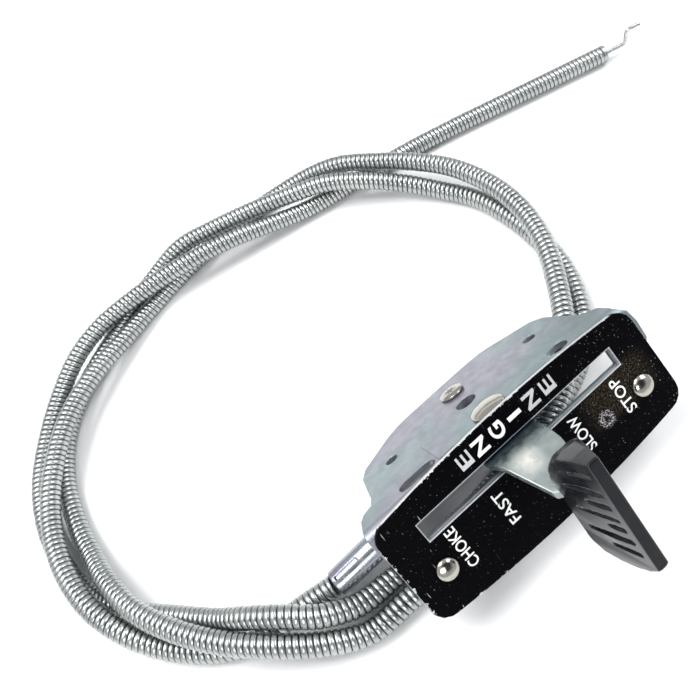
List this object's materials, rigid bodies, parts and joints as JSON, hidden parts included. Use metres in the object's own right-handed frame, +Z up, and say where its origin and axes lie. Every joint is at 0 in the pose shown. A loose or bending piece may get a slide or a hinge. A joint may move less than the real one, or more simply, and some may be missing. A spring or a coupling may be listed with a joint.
{
  "type": "throttle and choke control",
  "caption": "Hand control for a small garden engine: folded bracket, slotted black face plate, pivoting lever with thumb paddle, looped steel conduit with a bent wire end.",
  "frame": {"origin": "on the surface the part lies on, under the middle of the box around the control head without its conduit", "axes": "+Z up; +X along the face plate's slot, from the choke end to the stop end; -Y the side that the leaning face looks to, so the conduit's loop lies towards +Y"},
  "size_m": [0.2707, 0.1931, 0.0583],
  "materials": {
    "black_paint": "satin, worn at the edges",
    "zinc_sheet": "clear zinc plate",
    "nickel": "polished",
    "spring_steel": "plain",
    "wire_steel": "drawn wire",
    "conduit_steel": "galvanised, close wound",
    "black_plastic": "glossy moulded"
  },
  "bodies": {
    "head_and_conduit": {"face_plate": "black_paint", "face_rivet_choke_end": "nickel", "face_rivet_stop_end": "nickel", "control_bracket": "zinc_sheet", "pivot_rivet": "nickel", "pivot_retaining_washer": "zinc_sheet", "pivot_spring_washer": "spring_steel", "pivot_spacer": "zinc_sheet", "guide_rivet": "nickel", "friction_spring": "spring_steel", "cable_ferrule": "zinc_sheet", "conduit_turn_1": "conduit_steel", "conduit_turn_2": "conduit_steel", "conduit_turn_3": "conduit_steel", "conduit_tail_end": "conduit_steel"},
    "lever": {"control_lever": "zinc_sheet", "lever_thumb_paddle": "black_plastic"},
    "head_wire": {"control_wire": "wire_steel"},
    "tail_wire": {"inner_wire_end": "wire_steel"}
  },
  "joints": [
    {"name": "lever_swing", "type": "hinge", "parent": "head_and_conduit", "child": "lever", "pos_m": [0.0011, 0.02393, 0.00467], "axis": [0, 0.7071, 0.7071], "range_deg": [-26.5, 32.5]},
    {"name": "head_wire_slide", "type": "slide", "parent": "head_and_conduit", "child": "head_wire", "axis": [0.9963, -0.0104, 0.0848], "range_m": [-0.0062, 0.0077]},
    {"name": "tail_wire_slide", "type": "slide", "parent": "head_and_conduit", "child": "tail_wire", "axis": [-0.9468, 0.3219, 0], "range_m": [-0.0062, 0.0077]}
  ],
  "couplings": [
    {"joint": "head_wire_slide", "follows": "lever_swing", "m_per_rad": 0.0123},
    {"joint": "tail_wire_slide", "follows": "lever_swing", "m_per_rad": 0.0123}
  ]
}
